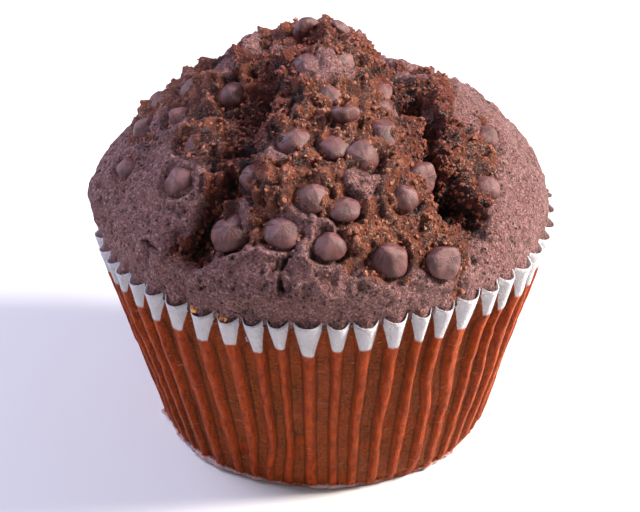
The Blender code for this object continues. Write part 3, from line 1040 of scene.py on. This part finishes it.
# %% The cake's finish
def crumb_colour(tree, fine, coarse, height):
    """Moist cocoa crumb: red-brown, with painted shade near black where it is low and a painted
    highlight where it stands up, painted glints on scattered grains, and darker near the deep lines:
    moist crumb there, with painted shade on top.
    """
    colour = mix_colour(tree, coarse["Speckle"], (0.058, 0.010, 0.003), (0.330, 0.073, 0.024))
    colour = blend_in(tree, colour, (0.235, 0.062, 0.029), fine["Speckle"], 0.1, 0.9, 0.0, 0.6)
    # painted glints: scattered grains turned pale, as if catching the light
    colour = blend_in(tree, colour, (0.54, 0.28, 0.18), fine["Cell"], 0.84, 0.96, 0.0, 0.80)
    colour = blend_in(tree, colour, (0.045, 0.010, 0.006), fine["Cell"], 0.0, 0.25, 0.7, 0.0)
    # painted highlight on the crumb's high points, and painted shade in its low places
    colour = blend_in(tree, colour, (0.38, 0.128, 0.068), height, 0.14, 0.6, 0.0, 0.50)
    colour = blend_in(tree, colour, (0.022, 0.005, 0.003), height, -0.42, 0.18, 0.95, 0.0)
    # painted shade, with the moist crumb's own darker red, near the deep lines and over the patches
    moist_shade = ramp(tree, mark_socket(tree, "moist_shade"), 0.0, 0.9, 0.0, 0.85)
    return mix_colour(tree, moist_shade, colour, (0.50, 0.23, 0.16), "MULTIPLY")


def crust_colour(tree, fine, coarse, height):
    """Dusty crust: pale granules on dark ground, large calm patches, and painted shade in pits of
    two sizes and in its low places.
    """
    colour = mix_colour(tree, fine["Speckle"], (0.044, 0.011, 0.010), (0.480, 0.207, 0.192))
    patches = noise_socket(tree, 7.0)
    colour = blend_in(tree, colour, (0.150, 0.048, 0.040), patches, 0.35, 0.65, 0.0, 0.4)
    colour = blend_in(tree, colour, (0.54, 0.31, 0.30), fine["Cell"], 0.80, 0.93, 0.0, 0.60)
    # painted shade in the pits, the small ones and the large ones
    colour = blend_in(tree, colour, (0.070, 0.015, 0.008), fine["Pit"], 0.0, 1.0, 0.0, 0.85)
    colour = blend_in(tree, colour, (0.020, 0.005, 0.003), coarse["Pit"], 0.0, 1.0, 0.0, 0.95)
    # painted shade in the crust's low places
    return blend_in(tree, colour, (0.028, 0.009, 0.007), height, -0.38, -0.12, 0.90, 0.0)


def cake_finish():
    """Crust and crumb in one material, blended by the torn attribute."""
    material, tree, shader = new_material("cocoa_cake", {
        "Roughness": 0.6, "Specular IOR Level": 0.22, "Sheen Weight": 0.065,
        "Sheen Roughness": 0.40, "Sheen Tint": (0.86, 0.82, 0.86, 1.0)})
    fine, coarse = grain(tree, 0.38), grain(tree, 0.95)
    relief = mark_socket(tree, "fine")
    crust = crust_colour(tree, fine, coarse, relief)
    crumb = crumb_colour(tree, fine, coarse, relief)
    ragged = math_node(tree, "MULTIPLY_ADD", fine["Height"], 0.5, mark_socket(tree, "torn"))
    torn = ramp(tree, ragged, 0.15, 0.65)
    colour = mix_colour(tree, torn, crust, crumb)
    # painted shade in the cracks, the holes and the grooves beside the chips
    cleft_shade = mark_socket(tree, "cleft_shade")
    colour = blend_in(tree, colour, (0.014, 0.004, 0.003), cleft_shade, 0.5, 1.6, 0.0, 0.92)
    roughness = ramp(tree, torn, 0.0, 1.0, 0.66, 0.32)
    height = math_node(tree, "ADD", coarse["Height"], fine["Height"])
    feed_shader(tree, shader, colour, roughness, height, 0.46)
    return material


def crumb_finish():
    """The loose granules: the same moist crumb."""
    material, tree, shader = new_material("moist_crumb", {
        "Roughness": 0.45, "Specular IOR Level": 0.45})
    fine, coarse = grain(tree, 0.35), grain(tree, 1.3)
    colour = crumb_colour(tree, fine, coarse, noise_socket(tree, 1.5))
    roughness = ramp(tree, fine["Speckle"], 0.0, 1.0, 0.34, 0.62)
    feed_shader(tree, shader, colour, roughness, fine["Height"], 0.12)
    return material


def golden_finish():
    """Plain golden cake crumbs."""
    material, tree, shader = new_material("golden_crumb", {
        "Roughness": 0.6, "Specular IOR Level": 0.3})
    colour = mix_colour(tree, grain(tree, 0.3)["Speckle"], (0.42, 0.13, 0.02), (0.80, 0.38, 0.10))
    tree.links.new(colour, shader.inputs["Base Color"])
    return material


cake.data.materials.append(cake_finish())
granules.data.materials.append(crumb_finish())
golden.data.materials.append(golden_finish())

# %% [markdown]
# ### Chocolate
# Baked chips lose their gloss: the cocoa butter blooms, and the surface turns satin with faint
# streaks from base to tip. The streaks stretch along the chip's own UV map.

# %% The chips' finish
def chocolate_finish():
    """Satin milk-brown chocolate, streaked along the drop."""
    material, tree, shader = new_material("chocolate", {
        "Roughness": 0.45, "Specular IOR Level": 0.42, "Sheen Weight": 0.02,
        "Sheen Tint": (0.80, 0.70, 1.0, 1.0)})
    uv = add_node(tree, "ShaderNodeUVMap", uv_map="drop").outputs["UV"]
    streaks = add_node(tree, "ShaderNodeTexNoise", scale=1.0, detail=4.0)
    tree.links.new(stretched(tree, uv, (14.0, 1.6, 1.0)), streaks.inputs["Vector"])
    streak = streaks.outputs["Fac"]
    bloom = noise_socket(tree, 2.2)
    fine = grain(tree, 0.30)
    colour = mix_colour(tree, ramp(tree, bloom, 0.35, 0.65), (0.047, 0.012, 0.010),
                        (0.125, 0.038, 0.033))
    colour = blend_in(tree, colour, (0.22, 0.098, 0.104), streak, 0.48, 0.72, 0.0, 0.45)
    colour = blend_in(tree, colour, (0.050, 0.015, 0.010), fine["Cell"], 0.90, 0.97, 0.0, 0.5)
    roughness = ramp(tree, bloom, 0.3, 0.7, 0.33, 0.52)
    height = math_node(tree, "MULTIPLY_ADD", streak, 3.0, fine["Speckle"])
    feed_shader(tree, shader, colour, roughness, height, 0.05)
    return material


chocolate = chocolate_finish()
for chip in chocolate_chips:
    chip.data.materials.append(chocolate)

# %% [markdown]
# ### Baked paper
# Greasy paper is orange-brown where it stands clear of the cake and light passes through it, and
# dark and grainy where it clings to the cake. Above the grease line it is dry and white. Painted
# shade darkens the creases beside the teeth. The heel keeps pale creases and the paper pale
# crinkles: crushed paper with painted highlights on them.

# %% The paper's finish
def greasy_colour(tree, fine, coarse, fibres):
    """Clear orange where the paper stands proud of the cake, dark and grainy where it clings, with
    painted shade along the creases beside each tooth.
    """
    clear = mix_colour(tree, ramp(tree, fibres, 0.3, 0.7), (0.17, 0.018, 0.001),
                       (0.42, 0.058, 0.003))
    cling = mix_colour(tree, fine["Speckle"], (0.040, 0.008, 0.002), (0.350, 0.080, 0.015))
    cling = blend_in(tree, cling, (0.100, 0.030, 0.014), coarse["Cell"], 0.5, 1.0, 0.0, 0.35)
    stains = noise_socket(tree, 4.0)
    cling = blend_in(tree, cling, (0.330, 0.050, 0.007), stains, 0.35, 0.7, 0.0, 0.6)
    proud = math_node(tree, "MULTIPLY_ADD", fine["Speckle"], 0.5, mark_socket(tree, "proud"))
    colour = blend_in(tree, cling, clear, proud, -0.6, 0.9)
    # painted shade along the creases where a tooth's sides meet the panel
    fold = mark_socket(tree, "crease")
    return blend_in(tree, colour, (0.045, 0.010, 0.003), fold, 0.2, 1.0, 0.0, 0.75)


def creased_colour(tree, fine, colour, crease):
    """The same paper with the pale lines of its creases and its pale crushed heel; both are crushed
    paper with a painted highlight on it.
    """
    # pale crinkle lines: crushed paper, partly a painted highlight on its kinks
    colour = mix_colour(tree, crease, colour, (0.60, 0.27, 0.17))
    # pale heel: crushed dry paper, partly a painted highlight on its folded edge
    heel = math_node(tree, "MULTIPLY_ADD", fine["Speckle"], 0.25, mark_socket(tree, "heel"))
    return blend_in(tree, colour, (0.56, 0.38, 0.39), heel, 0.34, 0.62, 0.0, 0.85)


def dry_mask(tree, fine):
    """1 on dry paper. Teeth dry first, and the folds stay greasy, so the white is a wedge."""
    wedge = ramp(tree, mark_socket(tree, "proud"), -0.80, 0.50, -5.2, 0.0)
    dry = math_node(tree, "ADD", mark_socket(tree, "dry"), wedge)
    dry = math_node(tree, "MULTIPLY_ADD", fine["Speckle"], 0.3, dry)
    return ramp(tree, dry, -0.05, 0.40)


def paper_finish():
    """White, greasy and clinging paper, chosen by the case's attributes."""
    # light goes into thin paper and comes out of its other face, so teeth against the light glow
    material, tree, shader = new_material("baked_paper", {
        "Roughness": 0.45, "Specular IOR Level": 0.14, "Subsurface Weight": 0.30,
        "Subsurface Radius": (1.0, 0.8, 0.7), "Subsurface Scale": 0.7 * MM})
    fine, coarse = grain(tree, 0.46), grain(tree, 0.9)
    fibres = noise_socket(tree, 0.8, scale=(1.0, 1.0, 0.30))
    # crinkle lines, pale in colour: crushed paper with a painted highlight
    creases = noise_socket(tree, 1.3, detail=2.0, scale=(0.35, 0.35, 2.2))
    crease = ramp(tree, creases, 0.66, 0.78, 0.0, 0.45)
    dry = dry_mask(tree, fine)
    colour = greasy_colour(tree, fine, coarse, fibres)
    colour = creased_colour(tree, fine, colour, crease)
    white = mix_colour(tree, fibres, (0.44, 0.42, 0.46), (0.60, 0.575, 0.60))
    colour = mix_colour(tree, dry, colour, white)
    roughness = ramp(tree, dry, 0.0, 1.0, 0.42, 0.64)
    height = math_node(tree, "MULTIPLY_ADD", fibres, 1.2, fine["Height"])
    height = math_node(tree, "MULTIPLY_ADD", crease, 2.0, height)
    feed_shader(tree, shader, colour, roughness, height, 0.16)
    return material


case.data.materials.append(paper_finish())

# %% [markdown]
# ## Setting
# A plain pale floor, one large warm light from the right and two cooler ones, from the left and
# the front. An area light is a glowing square: the larger it is, the softer its shadows are.

# %% Floor and lights
def make_floor():
    """A pale square the muffin stands on."""
    mesh = bpy.data.meshes.new("floor")
    half = 1.2                  # metres
    corners = [(-half, -half, 0.0), (half, -half, 0.0), (half, half, 0.0), (-half, half, 0.0)]
    mesh.from_pydata(corners, [], [(0, 1, 2, 3)])
    floor = bpy.data.objects.new("floor", mesh)
    bpy.context.scene.collection.objects.link(floor)
    settings = {"Roughness": 0.7, "Base Color": (0.62, 0.60, 0.58, 1.0)}
    mesh.materials.append(new_material("pale_floor", settings)[0])


def aim(item, target):
    """Turn a light or camera so that it looks at a point."""
    item.rotation_euler = (Vector(target) - item.location).to_track_quat("-Z", "Y").to_euler()


def add_light(name, turn, elevation, distance, size, watts, colour):
    """A square area light at a turn around the muffin and an elevation, aimed at its middle."""
    data = bpy.data.lights.new(name, "AREA")
    data.size, data.energy, data.color = size, watts, colour
    light = bpy.data.objects.new(name, data)
    bpy.context.scene.collection.objects.link(light)
    turn, elevation = math.radians(turn), math.radians(elevation)
    flat = distance * math.cos(elevation)
    light.location = (flat * math.sin(turn), -flat * math.cos(turn), distance * math.sin(elevation))
    aim(light, (0.0, 0.0, 0.04))


make_floor()
add_light("key", 90, 37, 0.55, 0.16, 10.6, (1.0, 0.96, 0.89))
add_light("fill", -108, 42, 0.60, 0.40, 5.7, (0.72, 0.74, 1.0))
add_light("front", -15, 35, 0.70, 0.40, 0.8, (0.95, 0.93, 1.0))

# %% [markdown]
# The sky is a plain background colour that fills the shadows. The colours go to the screen as they
# are, without the film-like curve that would grey them.

# %% Sky
world = bpy.data.worlds.new("soft_sky")
bpy.context.scene.world = world
world.use_nodes = True
sky = world.node_tree.nodes["Background"]
sky.inputs["Color"].default_value = (0.80, 0.86, 1.0, 1.0)
sky.inputs["Strength"].default_value = 0.22
bpy.context.scene.view_settings.view_transform = "Standard"

# %% [markdown]
# A long lens from half a metre away keeps the muffin's proportions, as a short one up close would
# swell its front. The camera's place comes from its distance and its rise above the horizon.

# %% Camera
LENS = 168.75               # focal length, for a sensor 36 mm wide
CAMERA_RISE = math.radians(29.4)
CAMERA_DISTANCE = 0.515     # metres
LOOK_AT = (-0.0008, 0.0, 0.030)

camera_data = bpy.data.cameras.new("camera")
camera_data.lens = LENS
camera_data.sensor_width = 36.0
camera_data.clip_start = 0.01
camera = bpy.data.objects.new("camera", camera_data)
bpy.context.scene.collection.objects.link(camera)
camera.location = (LOOK_AT[0], LOOK_AT[1] - CAMERA_DISTANCE * math.cos(CAMERA_RISE),
                   LOOK_AT[2] + CAMERA_DISTANCE * math.sin(CAMERA_RISE))
aim(camera, LOOK_AT)
bpy.context.scene.camera = camera
print(f"camera {CAMERA_DISTANCE:.3f} m away, lens {camera_data.lens:.0f} mm")
